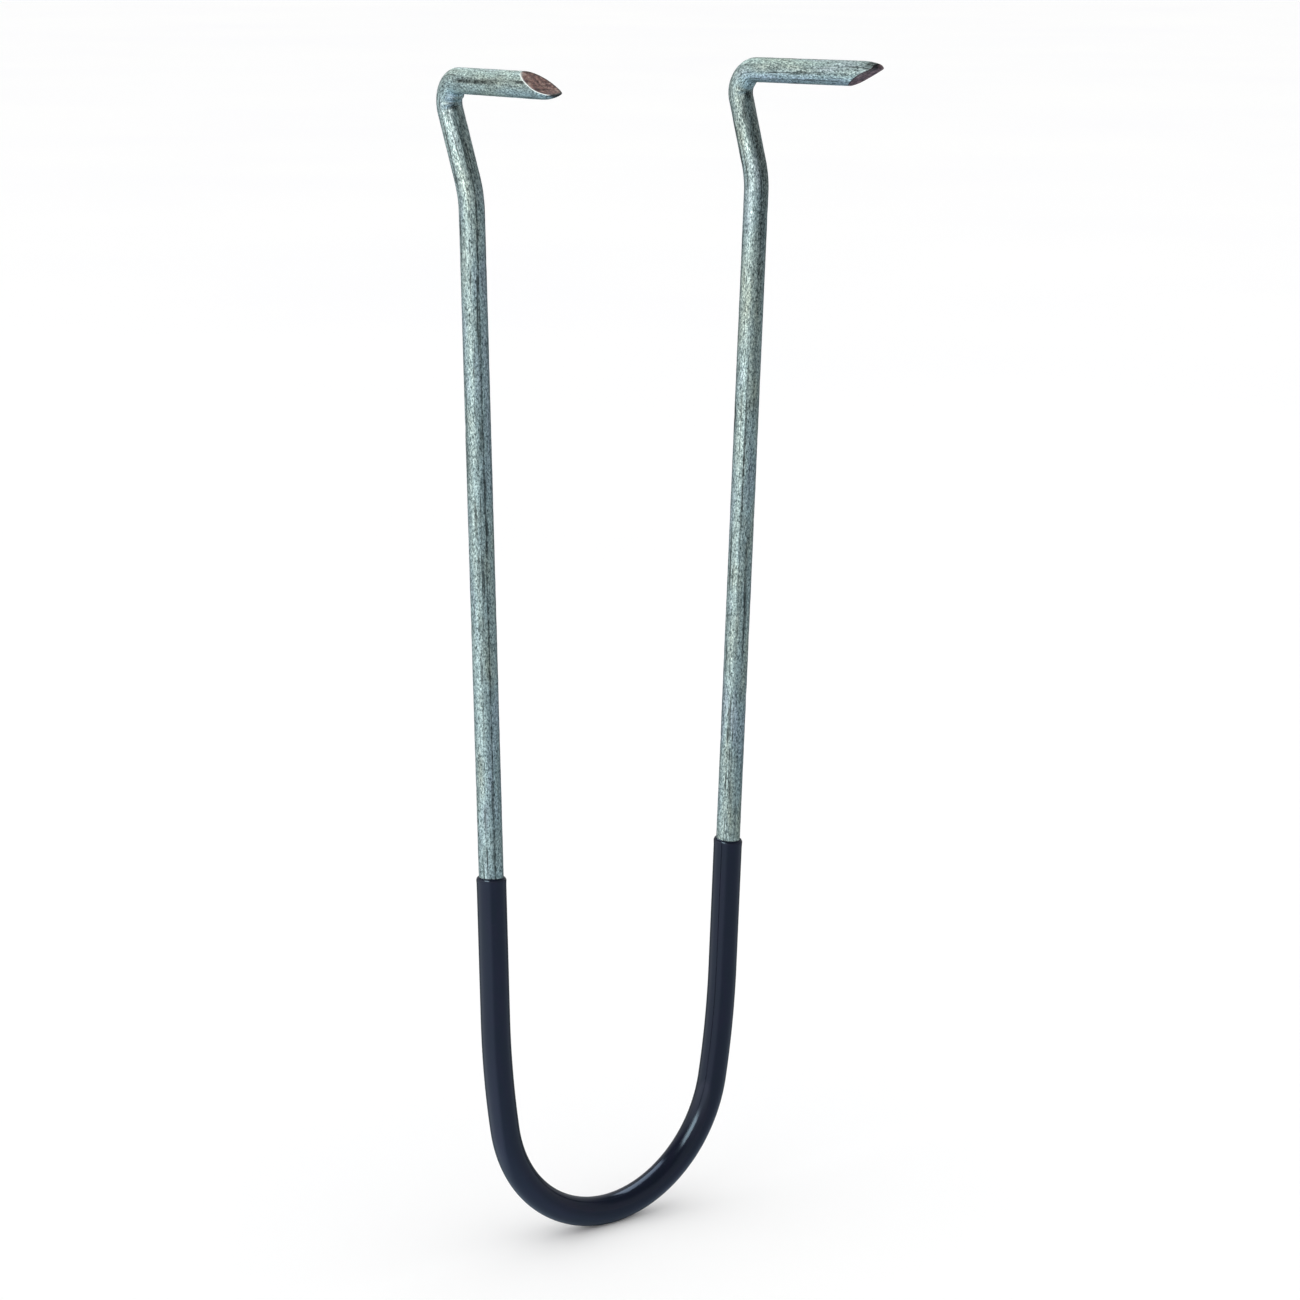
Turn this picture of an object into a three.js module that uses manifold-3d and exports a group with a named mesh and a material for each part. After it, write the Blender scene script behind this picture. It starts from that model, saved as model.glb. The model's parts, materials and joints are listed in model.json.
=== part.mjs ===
// Drive-in pipe hook: one length of galvanised steel wire, bent into a U that holds a pipe,
// with a vinyl coating over the U and two square-set points that are hammered into timber.
//
// Millimetres. +Z runs up the legs, X runs across the U, and the points are set towards -Y.
// The hook is drawn about the centre of its bottom bend, where the axis of a held pipe lies.
// At the end it is moved so that the origin is the middle of its footprint, at its lowest point.

import * as THREE from 'three';
import { mergeVertices } from 'three/addons/utils/BufferGeometryUtils.js';
import Module from 'manifold-3d';

const { sin, cos, tan, PI } = Math;
const { degToRad } = THREE.MathUtils;
const UP = new THREE.Vector3(0, 0, 1);
const INCH = 25.4;

// Stock
const WIRE_DIAMETER = INCH / 8;
const COATING_THICKNESS = 0.3;
const BOND_GAP = 0.02;

// Overall sizes
const OVERALL_HEIGHT = 6 * INCH;
const COATED_HEIGHT = 50;
const SADDLE_WIDTH = 1.25 * INCH;
const POINT_REACH = INCH;

// Bends, as centreline radii
const FLANK_RADIUS = 115;
const KNEE_RADIUS = 11.3;
const CORNER_RADIUS = 2.8;

// Angles
const SADDLE_HALF_ANGLE = degToRad(80.3);
const LEG_SPLAY = degToRad(2.06);
const POINT_SPLAY = degToRad(4.75);
const POINT_RISE = degToRad(1.15);
const CUT_ANGLE = degToRad(62.5);
const DIP_TILT = degToRad(2.1);
const DIP_PITCH = degToRad(5);

// The set-back above the knee, which gives the hammer a straight run at the corner
const SETBACK_HEIGHT = 13.6;
const SETBACK_DEPTH = 5.14;

// Faceting
const SIDES = 24;
const SECTION_STEP = degToRad(5);
const MERGE_DISTANCE = 1e-4;

// Sizes that follow from the ones above
const WIRE_RADIUS = WIRE_DIAMETER / 2;
const COATED_RADIUS = WIRE_RADIUS + COATING_THICKNESS;
const SADDLE_RADIUS = SADDLE_WIDTH / 2 + COATED_RADIUS;
const BOTTOM = -SADDLE_RADIUS - COATED_RADIUS;
const CORNER_HEIGHT = BOTTOM + OVERALL_HEIGHT - WIRE_RADIUS;
const KNEE_HEIGHT = CORNER_HEIGHT - SETBACK_HEIGHT;
const DIP_HEIGHT = BOTTOM + COATED_HEIGHT;
const CUT_OVERHANG = WIRE_RADIUS * tan(CUT_ANGLE);

// Extra length left on a swept piece before its ends are cut, and the blocks that cut them
const TRIM_ALLOWANCE = 2;
const POINT_CUTTER = new THREE.Vector3(16, 16, 16);
const DIP_CUTTER = new THREE.Vector3(60, 10, 10);

const wasm = await Module();
wasm.setup();

// A centreline made of flat sections, each at a station with its own point and tangent.
class WirePath extends THREE.Curve {
  constructor(stations) {
    super();
    this.stations = stations;
  }

  get steps() {
    return this.stations.length - 1;
  }

  getPointAt(u, target = new THREE.Vector3()) {
    return target.copy(this.stations[Math.round(u * this.steps)].point);
  }

  getTangentAt(u, target = new THREE.Vector3()) {
    return target.copy(this.stations[Math.round(u * this.steps)].tangent);
  }
}

function direction(from, to) {
  return to.clone().sub(from).normalize();
}

// Stations round one bend: an arc that is tangent to both straight runs meeting at the corner.
function bendStations(before, corner, after, radius) {
  const incoming = direction(before, corner);
  const outgoing = direction(corner, after);
  const turn = incoming.angleTo(outgoing);
  const start = corner.clone().addScaledVector(incoming, -radius * tan(turn / 2));
  const inward = outgoing.clone().addScaledVector(incoming, -cos(turn)).normalize();
  const count = Math.ceil(turn / SECTION_STEP);
  return Array.from({ length: count + 1 }, (_, i) => {
    const angle = (turn * i) / count;
    const point = start.clone();
    point.addScaledVector(incoming, radius * sin(angle));
    point.addScaledVector(inward, radius * (1 - cos(angle)));
    const tangent = incoming.clone().multiplyScalar(cos(angle)).addScaledVector(inward, sin(angle));
    return { point, tangent };
  });
}

// A path through a list of corners. The first and last corners are plain ends, with no radius.
function pathThrough(corners) {
  const points = corners.map((corner) => corner.point);
  const last = points.length - 1;
  const stations = [{ point: points[0], tangent: direction(points[0], points[1]) }];
  for (let i = 1; i < last; i += 1) {
    for (const station of bendStations(points[i - 1], points[i], points[i + 1], corners[i].radius)) {
      const previous = stations[stations.length - 1];
      if (station.point.distanceTo(previous.point) > MERGE_DISTANCE) {
        stations.push(station);
      }
    }
  }
  stations.push({ point: points[last], tangent: direction(points[last - 1], points[last]) });
  return new WirePath(stations);
}

// Where the bottom bend's two tangents meet, below the U
function apexCorner() {
  return { point: new THREE.Vector3(0, 0, -SADDLE_RADIUS / cos(SADDLE_HALF_ANGLE)), radius: SADDLE_RADIUS };
}

// The gentle flank bend that straightens the end of the bottom bend into the leg
function flankCorner() {
  const turn = PI / 2 - LEG_SPLAY - SADDLE_HALF_ANGLE;
  const point = new THREE.Vector3(sin(SADDLE_HALF_ANGLE), 0, -cos(SADDLE_HALF_ANGLE));
  point.multiplyScalar(SADDLE_RADIUS);
  const along = new THREE.Vector3(cos(SADDLE_HALF_ANGLE), 0, sin(SADDLE_HALF_ANGLE));
  point.addScaledVector(along, FLANK_RADIUS * tan(turn / 2));
  return { point, radius: FLANK_RADIUS };
}

// A point on the straight leg's line, at a given height
function onLeg(height) {
  const { point } = flankCorner();
  return new THREE.Vector3(point.x + (height - point.z) * tan(LEG_SPLAY), 0, height);
}

function kneeCorner() {
  return { point: onLeg(KNEE_HEIGHT), radius: KNEE_RADIUS };
}

function topCorner() {
  const point = onLeg(CORNER_HEIGHT);
  point.y = SETBACK_DEPTH;
  return { point, radius: CORNER_RADIUS };
}

function pointDirection() {
  const level = new THREE.Vector3(sin(POINT_SPLAY), -cos(POINT_SPLAY), 0);
  return level.multiplyScalar(cos(POINT_RISE)).addScaledVector(UP, sin(POINT_RISE));
}

// Where the wire's axis meets the oblique cut, and the end of the blank before it is cut
function cutCentre() {
  return topCorner().point.addScaledVector(pointDirection(), POINT_REACH - CUT_OVERHANG);
}

function blankEnd() {
  return topCorner().point.addScaledVector(pointDirection(), POINT_REACH + TRIM_ALLOWANCE);
}

function mirrored({ point, radius }) {
  return { point: point.clone().setX(-point.x), radius };
}

// Both halves of a symmetric path, from the end of the -X leg to the end of the +X leg
function symmetricPath(rightHalf) {
  const leftHalf = rightHalf.map(mirrored).reverse();
  return pathThrough([...leftHalf, apexCorner(), ...rightHalf]);
}

function sweep(outerRadius, innerRadius, path) {
  const section = new THREE.Shape();
  section.absarc(0, 0, outerRadius, 0, 2 * PI, false);
  if (innerRadius > 0) {
    const bore = new THREE.Path();
    bore.absarc(0, 0, innerRadius, 0, 2 * PI, true);
    section.holes.push(bore);
  }
  return new THREE.ExtrudeGeometry(section, {
    curveSegments: SIDES / 2,
    steps: path.steps,
    extrudePath: path,
  });
}

function toSolid(geometry) {
  geometry.deleteAttribute('normal');
  geometry.deleteAttribute('uv');
  const merged = mergeVertices(geometry, MERGE_DISTANCE);
  return new wasm.Manifold(new wasm.Mesh({
    numProp: 3,
    vertProperties: new Float32Array(merged.attributes.position.array),
    triVerts: new Uint32Array(merged.index.array),
  }));
}

function toGeometry(solid) {
  const { vertProperties, triVerts } = solid.getMesh();
  const geometry = new THREE.BufferGeometry();
  geometry.setAttribute('position', new THREE.BufferAttribute(vertProperties, 3));
  geometry.setIndex(new THREE.BufferAttribute(triVerts, 1));
  geometry.computeVertexNormals();
  return geometry;
}

// A block that cuts away what lies beyond a plane. The plane passes through `through`, and
// `normal` points to the side that goes.
function cutter(size, through, normal) {
  const block = new THREE.BoxGeometry(size.x, size.y, size.z);
  block.translate(0, 0, size.z / 2);
  block.applyQuaternion(new THREE.Quaternion().setFromUnitVectors(UP, normal));
  block.translate(through.x, through.y, through.z);
  return toSolid(block);
}

// The oblique cut on one point. The shear that parts one blank from the next leaves the -X
// point's face looking up and the +X point's face looking down.
function pointCutter(side) {
  const axis = pointDirection();
  const upright = UP.clone().addScaledVector(axis, -axis.z).normalize();
  const normal = axis.multiplyScalar(cos(CUT_ANGLE)).addScaledVector(upright, -side * sin(CUT_ANGLE));
  const mirror = new THREE.Vector3(side, 1, 1);
  return cutter(POINT_CUTTER, cutCentre().multiply(mirror), normal.multiply(mirror));
}

// Everything above the surface of the vinyl bath. The hook hung a little out of level in it, so
// the coating reaches higher on the -X leg and on the back of both legs.
function dipCutter() {
  const surface = new THREE.Vector3(0, 0, DIP_HEIGHT);
  const normal = new THREE.Vector3(tan(DIP_TILT), -tan(DIP_PITCH), 1).normalize();
  return cutter(DIP_CUTTER, surface, normal);
}

function wireGeometry() {
  const path = symmetricPath([flankCorner(), kneeCorner(), topCorner(), { point: blankEnd() }]);
  const blank = toSolid(sweep(WIRE_RADIUS, 0, path));
  return toGeometry(blank.subtract(pointCutter(-1)).subtract(pointCutter(1)));
}

function coatingGeometry() {
  const path = symmetricPath([flankCorner(), { point: onLeg(DIP_HEIGHT + TRIM_ALLOWANCE) }]);
  const sleeve = toSolid(sweep(COATED_RADIUS, WIRE_RADIUS + BOND_GAP, path));
  return toGeometry(sleeve.subtract(dipCutter()));
}

function namedMesh(name, geometry, material) {
  const mesh = new THREE.Mesh(geometry, material);
  mesh.name = name;
  return mesh;
}

const galvanisedSteel = new THREE.MeshStandardMaterial({
  color: new THREE.Color(0.56, 0.58, 0.58),
  roughness: 0.42,
  metalness: 0.9,
});

const vinyl = new THREE.MeshStandardMaterial({
  color: new THREE.Color(0.02, 0.03, 0.045),
  roughness: 0.3,
  metalness: 0,
});

// Moves a group so that its box stands on z = 0 and is centred over the origin.
function standOnOrigin(group) {
  const box = new THREE.Box3().setFromObject(group);
  const middle = box.getCenter(new THREE.Vector3());
  group.position.set(-middle.x, -middle.y, -box.min.z);
}

const hook = new THREE.Group();
hook.add(namedMesh('steel_wire', wireGeometry(), galvanisedSteel));
hook.add(namedMesh('vinyl_coating', coatingGeometry(), vinyl));
standOnOrigin(hook);

export default hook;
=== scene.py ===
"""The looks of a drive-in pipe hook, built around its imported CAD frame.

The hook is one galvanised steel wire with a vinyl coating over its U. Both pieces are fine swept
meshes on the CAD part's own centreline: the frame says where the hook stands, and the sizes below
are the CAD part's driving sizes. Lengths are in millimetres until a mesh is made.
"""

import json
import math

import bpy
import numpy as np
from mathutils import Matrix, Vector, noise


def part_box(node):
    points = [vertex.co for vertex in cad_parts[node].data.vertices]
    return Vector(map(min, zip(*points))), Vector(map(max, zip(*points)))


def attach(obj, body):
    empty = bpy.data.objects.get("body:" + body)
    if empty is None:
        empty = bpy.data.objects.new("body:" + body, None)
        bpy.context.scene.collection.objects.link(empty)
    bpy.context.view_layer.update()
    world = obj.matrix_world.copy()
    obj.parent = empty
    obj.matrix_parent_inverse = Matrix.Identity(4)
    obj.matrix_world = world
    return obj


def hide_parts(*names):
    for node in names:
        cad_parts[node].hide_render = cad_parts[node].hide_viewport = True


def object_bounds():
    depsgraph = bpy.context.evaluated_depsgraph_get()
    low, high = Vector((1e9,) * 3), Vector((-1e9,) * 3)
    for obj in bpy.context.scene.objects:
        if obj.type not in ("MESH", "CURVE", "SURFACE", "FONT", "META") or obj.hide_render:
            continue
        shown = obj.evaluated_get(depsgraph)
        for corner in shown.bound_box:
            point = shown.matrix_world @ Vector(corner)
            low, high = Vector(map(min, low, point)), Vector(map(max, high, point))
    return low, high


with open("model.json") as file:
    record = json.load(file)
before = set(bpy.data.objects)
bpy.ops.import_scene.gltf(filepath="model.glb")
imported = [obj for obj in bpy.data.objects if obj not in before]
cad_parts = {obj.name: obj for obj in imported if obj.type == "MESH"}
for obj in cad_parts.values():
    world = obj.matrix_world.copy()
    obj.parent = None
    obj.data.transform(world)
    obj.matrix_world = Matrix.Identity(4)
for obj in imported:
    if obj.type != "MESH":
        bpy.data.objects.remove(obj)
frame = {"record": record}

CAD_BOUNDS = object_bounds()
MM = 0.001

# Driving sizes, shared with the CAD part
INCH = 25.4
WIRE_RADIUS = INCH / 16
COATING_THICKNESS = 0.3
OVERALL_HEIGHT = 6 * INCH
COATED_HEIGHT = 50.0
SADDLE_WIDTH = 1.25 * INCH
POINT_REACH = INCH
FLANK_RADIUS = 115.0
KNEE_RADIUS = 11.3
CORNER_RADIUS = 2.8
SETBACK_HEIGHT = 13.6
SETBACK_DEPTH = 5.14
SADDLE_HALF_ANGLE = math.radians(80.3)
LEG_SPLAY = math.radians(2.06)
POINT_SPLAY = math.radians(4.75)
POINT_RISE = math.radians(1.15)
DIP_TILT = math.radians(2.1)
DIP_PITCH = math.radians(5.0)

COATED_RADIUS = WIRE_RADIUS + COATING_THICKNESS
SADDLE_RADIUS = SADDLE_WIDTH / 2 + COATED_RADIUS
SADDLE_CORNER_DROP = SADDLE_RADIUS / math.cos(SADDLE_HALF_ANGLE)

# Directions round the wire, as angles in its own section. At the U they mean back, inside, front
# and outside. On a point, which is set square, back becomes top and front becomes underside.
BACK, INSIDE, FRONT, OUTSIDE = 0.0, math.pi / 2, math.pi, 3 * math.pi / 2

UP = np.array([0.0, 0.0, 1.0])
ACROSS = np.array([1.0, 0.0, 0.0])


def unit(vector):
    return vector / np.linalg.norm(vector)


def leg_plane():
    """The y of the plane that holds the U and both legs, in millimetres."""
    low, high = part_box("vinyl_coating")
    return (low.y + high.y) / 2 / MM


def saddle_centre():
    """The centre of the bottom bend, where the axis of a held pipe lies."""
    low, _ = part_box("vinyl_coating")
    return np.array([0.0, leg_plane(), low.z / MM + COATED_RADIUS + SADDLE_RADIUS])


# ---------------------------------------------------------------------------------- centreline


class Run:
    """A straight run or an arc of the centreline, with the frame that it starts from."""

    def __init__(self, start, point, axes, length, radius=None, pivot=None):
        self.start = start
        self.point = point
        self.axes = axes
        self.length = length
        self.radius = radius
        self.pivot = pivot

    def at(self, distance):
        """Points and (tangent, back, inside) axes at distances along this run."""
        along = (distance - self.start)[:, None]
        if self.radius is None:
            axes = [np.broadcast_to(axis, (len(distance), 3)) for axis in self.axes]
            return self.point + along * self.axes[0], axes
        angle = along / self.radius
        centre = self.point + self.radius * np.cross(self.pivot, self.axes[0])
        return centre + turned(self.point - centre, self.pivot, angle), [
            turned(axis, self.pivot, angle) for axis in self.axes
        ]

    def end_axes(self):
        _, axes = self.at(np.array([self.start + self.length]))
        return [axis[0] for axis in axes]


def turned(vector, pivot, angle):
    """vector turned about the unit vector pivot, by each of a column of angles."""
    across = np.cross(pivot, vector)
    return (
        vector * np.cos(angle)
        + across * np.sin(angle)
        + pivot * np.dot(pivot, vector) * (1 - np.cos(angle))
    )


class Centreline:
    """Half of the wire's centreline, from the middle of the U to the end of the +X point.

    Distances are signed: negative ones are on the -X half, which is the mirror image.
    """

    def __init__(self, corners, radii, end):
        """corners are where the bends' tangents meet, in order, and end is the tip of the point.

        The first corner is the bottom bend's, which starts at its middle. radii has the others'.
        """
        self.runs = []
        tangent, back, inside = ACROSS, np.array([0.0, 1.0, 0.0]), UP
        point = corners[0] + np.array([0.0, 0.0, SADDLE_CORNER_DROP - SADDLE_RADIUS])
        self._add(point, [tangent, back, inside], SADDLE_RADIUS * SADDLE_HALF_ANGLE,
                  SADDLE_RADIUS, np.array([0.0, -1.0, 0.0]))
        self.bend_starts = []
        for corner, after, radius in zip(corners[1:], corners[2:] + [end], radii, strict=True):
            self._bend(corner, after, radius)
        self._straight_to(end)
        self.length = self.runs[-1].start + self.runs[-1].length

    def _add(self, point, axes, length, radius=None, pivot=None):
        start = self.runs[-1].start + self.runs[-1].length if self.runs else 0.0
        self.runs.append(Run(start, point, axes, length, radius, pivot))

    def _tip(self):
        run = self.runs[-1]
        points, _ = run.at(np.array([run.start + run.length]))
        return points[0], run.end_axes()

    def _straight_to(self, target):
        point, axes = self._tip()
        self._add(point, axes, float(np.dot(target - point, axes[0])))

    def _bend(self, corner, after, radius):
        point, axes = self._tip()
        outgoing = unit(after - corner)
        turn = math.acos(float(np.clip(np.dot(axes[0], outgoing), -1, 1)))
        self._straight_to(corner - axes[0] * radius * math.tan(turn / 2))
        point, axes = self._tip()
        pivot = unit(np.cross(axes[0], outgoing))
        self.bend_starts.append(self.runs[-1].start + self.runs[-1].length)
        self._add(point, axes, radius * turn, radius, pivot)

    def at(self, distance):
        """Points and (tangent, back, inside) axes at any array of signed distances."""
        shape = np.shape(distance)
        flat = np.ravel(distance)
        size = np.abs(flat)
        points = np.zeros((len(flat), 3))
        axes = [np.zeros((len(flat), 3)) for _ in range(3)]
        for i, run in enumerate(self.runs):
            here = size >= run.start
            if i + 1 < len(self.runs):
                here &= size < self.runs[i + 1].start
            if here.any():
                points[here], found = run.at(size[here])
                for axis, value in zip(axes, found, strict=True):
                    axis[here] = value
        mirror = np.where(flat[:, None] < 0, np.array([-1.0, 1.0, 1.0]), 1.0)
        points *= mirror
        axes = [axis * mirror for axis in axes]
        axes[0] *= np.where(flat < 0, -1.0, 1.0)[:, None]
        return points.reshape(*shape, 3), [axis.reshape(*shape, 3) for axis in axes]


def hook_corners():
    """The corners of the +X half: bottom, flank, knee and top, then the end of the point."""
    centre = saddle_centre()
    bottom = centre - UP * SADDLE_CORNER_DROP
    turn = math.pi / 2 - LEG_SPLAY - SADDLE_HALF_ANGLE
    sine, cosine = math.sin(SADDLE_HALF_ANGLE), math.cos(SADDLE_HALF_ANGLE)
    flank = centre + SADDLE_RADIUS * np.array([sine, 0.0, -cosine])
    flank = flank + FLANK_RADIUS * math.tan(turn / 2) * np.array([cosine, 0.0, sine])
    top_height = centre[2] - SADDLE_RADIUS - COATED_RADIUS + OVERALL_HEIGHT - WIRE_RADIUS

    def on_leg(height):
        return flank + (height - flank[2]) * np.array([math.tan(LEG_SPLAY), 0.0, 1.0])

    knee = on_leg(top_height - SETBACK_HEIGHT)
    top = on_leg(top_height) + np.array([0.0, SETBACK_DEPTH, 0.0])
    level = np.array([math.sin(POINT_SPLAY), -math.cos(POINT_SPLAY), 0.0])
    outward = level * math.cos(POINT_RISE) + UP * math.sin(POINT_RISE)
    return [bottom, flank, knee, top], top + outward * POINT_REACH


CORNERS, POINT_END = hook_corners()
PATH = Centreline(CORNERS, [FLANK_RADIUS, KNEE_RADIUS, CORNER_RADIUS], POINT_END)
KNEE_START, CORNER_START = PATH.bend_starts[1], PATH.bend_starts[2]
CORNER_END = PATH.runs[-1].start
CORNER_MIDDLE = (CORNER_START + CORNER_END) / 2


# ------------------------------------------------------------------------------------- meshes

# Fractal noise: how fast its octaves lose height, and the step in scale from one to the next
OCTAVE_FALL, OCTAVE_STEP = 0.6, 2.0


def sweep_offsets(distance, toward_back, toward_inside):
    """Points at signed distances along the wire, offset from its centreline within the section."""
    middle, (_, back, inside) = PATH.at(distance)
    return middle + back * toward_back[..., None] + inside * toward_inside[..., None]


def sweep_points(distance, angle, radius):
    """Surface points at signed distances along the wire, angles round it and radii from it."""
    return sweep_offsets(distance, radius * np.cos(angle), radius * np.sin(angle))


def closed_grid_faces(rows, sides):
    """Quads of a tube of rows by sides vertices, joined round the side seam."""
    row, side = np.meshgrid(np.arange(rows - 1), np.arange(sides), indexing="ij")
    beside = (side + 1) % sides
    this_row, next_row = row * sides, (row + 1) * sides
    quads = [this_row + side, this_row + beside, next_row + beside, next_row + side]
    return np.stack(quads, axis=-1).reshape(-1, 4)


def make_object(name, points, faces, attributes):
    """A mesh object from points in millimetres, smooth shaded, with named point attributes."""
    mesh = bpy.data.meshes.new(name)
    mesh.from_pydata((points * MM).tolist(), [], [list(map(int, face)) for face in faces])
    for key, values in attributes.items():
        kind = "FLOAT_VECTOR" if values.ndim == 2 else "FLOAT"
        field = "vector" if values.ndim == 2 else "value"
        attribute = mesh.attributes.new(key, kind, "POINT")
        attribute.data.foreach_set(field, values.astype(np.float32).ravel())
    mesh.shade_smooth()
    mesh.update()
    piece = bpy.data.objects.new(name, mesh)
    bpy.context.scene.collection.objects.link(piece)
    return piece


def smooth_noise(points, octaves=1):
    """Blender's own gradient noise at each point, from about -1 to 1."""
    flat = points.reshape(-1, 3).tolist()
    if octaves == 1:
        values = [noise.noise(point) for point in flat]
    else:
        values = [noise.fractal(point, OCTAVE_FALL, OCTAVE_STEP, octaves) for point in flat]
    return np.array(values).reshape(points.shape[:-1])


def wire_space(distance, angle, radius):
    """Texture coordinates in millimetres that run along the wire however it bends."""
    return np.stack([radius * np.cos(angle), radius * np.sin(angle), distance], axis=-1)


def angle_apart(angle, centre):
    return (angle - centre + math.pi) % (2 * math.pi) - math.pi


def bump_at(distance, angle, place, reach):
    """A smooth bump of height 1 at place = (distance, angle), reaching (millimetres, radians)."""
    along = (distance - place[0]) / reach[0]
    around = angle_apart(angle, place[1]) / reach[1]
    return np.exp(-(along**2) - around**2)


def faced(angle, centre, sharpness):
    """1 on the side of the wire that faces the angle centre, falling to 0 by a quarter turn off."""
    return np.clip(sharpness * np.cos(angle - centre), 0, 1)


def risen(distance, start, length):
    """0 up to the distance start, rising evenly to 1 over length."""
    return np.clip((distance - start) / length, 0, 1)


# --------------------------------------------------------------------------------- steel wire

# Mesh density: sides round the wire, spacing of its rings in millimetres, how far the finest
# rings reach past a corner's ends, and rings on each point, cut face and rounded edge
WIRE_SIDES = 72
HIDDEN_SPACING, OPEN_SPACING, CORNER_SPACING = 1.2, 0.28, 0.14
NEAR_CORNER = 2.5
POINT_RINGS, FACE_RINGS, EDGE_RINGS = 40, 20, 6

# The coating hides the wire to a little past this distance from the middle of the U
HIDDEN_LENGTH = 55.0

# The cuts: the length kept between the last square ring and the cut, the rounding of the cut's
# edge and of the blunt tip, the share of the radius at which the middle fan starts, and how many
# times its reach a tip goes on curling
SQUARE_MARGIN = 0.4
CUT_EDGE_ROUND, CUT_EDGE_DEPTH = 0.07, 0.06
TIP_ROUND = 0.35
FACE_MIDDLE = 0.02
CURL_LIMIT = 1.1

# The relief of the skin and of the cut faces, in millimetres. Tears fade out towards the rim,
# over a share of the radius that is 1 / TEAR_FADE.
LUMP_HEIGHT, DRAW_HEIGHT, GRAIN_HEIGHT = 0.012, 0.014, 0.008
TEAR_HEIGHT, DISH_DEPTH = 0.10, 0.12
TEAR_FADE = 6

# Pits: how many on each half, spacing along the points' seams, and ranges of their reach along
# and round the wire and of their depth
PITS_PER_HALF = 150
SEAM_PIT_SPACING = 0.85
PIT_LENGTHS, PIT_WIDTHS, PIT_DEPTHS = (0.25, 0.7), (0.1, 0.2), (0.02, 0.055)

# Places of the long dark lines, as angles round the wire
SEAM_ANGLE = OUTSIDE + 0.22
LEFT_LINE_ANGLE = FRONT + 0.27
RIGHT_LINE_ANGLE = FRONT - 0.77

# Lines drawn in the shader: angle, start and end as signed distances, half width in radians and
# strength. A line wanders by LINE_WANDER radians and fades in and out over LINE_FADE millimetres.
LINE_WANDER, LINE_FADE = 0.08, 3.0
DRAWN_LINES = [
    (LEFT_LINE_ANGLE, -154.0, -56.0, 0.10, 0.85),
    (RIGHT_LINE_ANGLE, 78.0, 122.0, 0.065, 0.55),
    (RIGHT_LINE_ANGLE + 0.01, 99.5, 112.5, 0.085, 1.0),
    (RIGHT_LINE_ANGLE + 0.62, 112.0, 124.0, 0.075, 0.6),
    (SEAM_ANGLE, -(PATH.length - 11.0), -(CORNER_END + 0.3), 0.20, 0.95),
    (INSIDE + 0.25, CORNER_END + 3.0, PATH.length - 8.0, 0.07, 0.5),
]

# Rows of dark dots on the mesh: start, end, angle, greatest strength and spread of the angle.
# Then the dots' spacing, its scatter, their least strength, the ranges of their reach along and
# round the wire, and how far from its middle a dot is drawn.
DOTTED_LINES = [
    (-(PATH.length - 10.5), -(CORNER_END + 0.6), SEAM_ANGLE, 1.4, 0.08),
    (-(CORNER_START - 1.0), -(KNEE_START - 4.0), LEFT_LINE_ANGLE - 0.15, 0.6, 0.12),
    (HIDDEN_LENGTH, CORNER_START - 2.0, RIGHT_LINE_ANGLE + 0.55, 0.4, 0.05),
    (CORNER_END + 1.0, PATH.length - 8.0, INSIDE + 0.1, 0.45, 0.12),
]
DOT_SPACING, DOT_SCATTER, LEAST_DOT = 0.42, 0.12, 0.1
DOT_LENGTHS, DOT_WIDTHS = (0.15, 0.6), (0.05, 0.11)
DOT_LIMIT = 1.8

# Soft darkenings: strength, place as (distance, angle), and reach as (millimetres, radians). The
# first two are painted shade in the pinched inner corners. The third is painted shade that the +X
# point casts on the wire below it. The last two are stains.
STAINS_AND_PAINTED_SHADE = [
    (1.2, (-(CORNER_START + 0.3), FRONT + 0.33), (0.85, 0.34)),
    (1.0, (CORNER_START + 0.3, FRONT - 0.10), (0.85, 0.34)),
    (0.45, (CORNER_START - 3.0, INSIDE + 0.5), (3.5, 0.6)),
    (0.34, (-113.0, OUTSIDE - 0.2), (2.4, 0.5)),
    (0.75, (KNEE_START - 1.0, FRONT - 0.02), (14.0, 0.45)),
]

# The dark ends of the tips: the length each darkening covers and over which it deepens, and the
# right one's reach round the wire in radians. The darkening on the -X tip's skin, along its
# underside, is painted shade. The ones on the -X face and on the +X tip are black stains. Then the
# widths of the dark and bright rims.
LEFT_UNDERSIDE_SHADE, LEFT_FACE_STAIN, RIGHT_SKIN_STAIN = 1.0, 0.8, 1.9
TIP_DARKENING_FADE = 0.4
RIGHT_STAIN_REACH = 0.45
DARK_RIM_WIDTH, ZINC_RIM_WIDTH = 0.15, 0.11


def spaced(start, end, spacing):
    count = max(2, int(round((end - start) / spacing)))
    return np.linspace(start, end, count, endpoint=False)


def body_rings(square_end):
    """Distances of the square rings of one half, finest at the corner."""
    below_corner, past_corner = CORNER_START - NEAR_CORNER, CORNER_END + NEAR_CORNER
    return np.concatenate([
        spaced(0.0, HIDDEN_LENGTH, HIDDEN_SPACING),
        spaced(HIDDEN_LENGTH, below_corner, OPEN_SPACING),
        spaced(below_corner, past_corner, CORNER_SPACING),
        spaced(past_corner, square_end, OPEN_SPACING),
    ])


def cut_mount(side):
    name = "right_point" if side > 0 else "left_point"
    return next(m for m in frame["record"]["mounts"] if m["name"] == name)


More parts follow.
